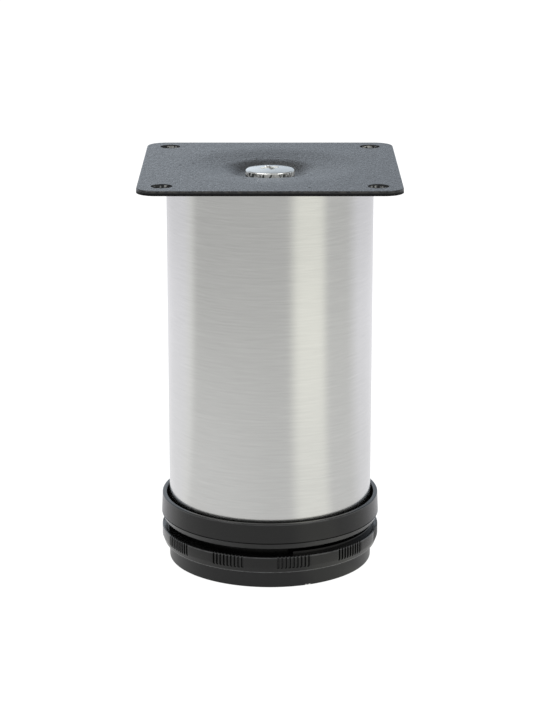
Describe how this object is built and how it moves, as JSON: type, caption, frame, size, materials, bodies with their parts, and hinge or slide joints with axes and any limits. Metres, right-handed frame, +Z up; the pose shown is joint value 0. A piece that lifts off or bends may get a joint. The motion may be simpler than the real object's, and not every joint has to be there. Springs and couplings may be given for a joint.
{
  "type": "height adjustable table leg",
  "caption": "Short round furniture leg: square screw-on plate, brushed steel tube and a black plastic foot that screws in and out to level it.",
  "frame": {"origin": "centre of the glide pad's underside, on the floor", "axes": "+Z up along the leg; X and Y along the plate's sides; -Y is the pictured front"},
  "size_m": [0.074, 0.074, 0.1184],
  "materials": {
    "powder_coat": "fine textured powder coat",
    "zinc": "bright zinc plate",
    "brushed_tube": "satin, fine brushed",
    "black_plastic": "satin moulded",
    "pad_plastic": "satin moulded, slightly softer"
  },
  "bodies": {
    "leg": {"leg_tube": "brushed_tube", "mounting_plate": "powder_coat", "tie_screw": "zinc", "top_plug": "black_plastic", "foot_socket": "black_plastic", "socket_nut": "zinc"},
    "pad": {"glide_pad": "pad_plastic"},
    "foot": {"adjusting_foot": "black_plastic"}
  },
  "joints": [
    {"name": "height_adjust", "type": "slide", "parent": "leg", "child": "pad", "axis": [0, 0, -1], "range_m": [-0.0009, 0.015]},
    {"name": "foot_turn", "type": "hinge", "parent": "pad", "child": "foot", "pos_m": [0, 0, 0.01], "axis": [0, 0, -1], "range_deg": [-81, 1350]}
  ],
  "couplings": [
    {"joint": "height_adjust", "follows": "foot_turn", "m_per_rad": 0.00063662}
  ]
}
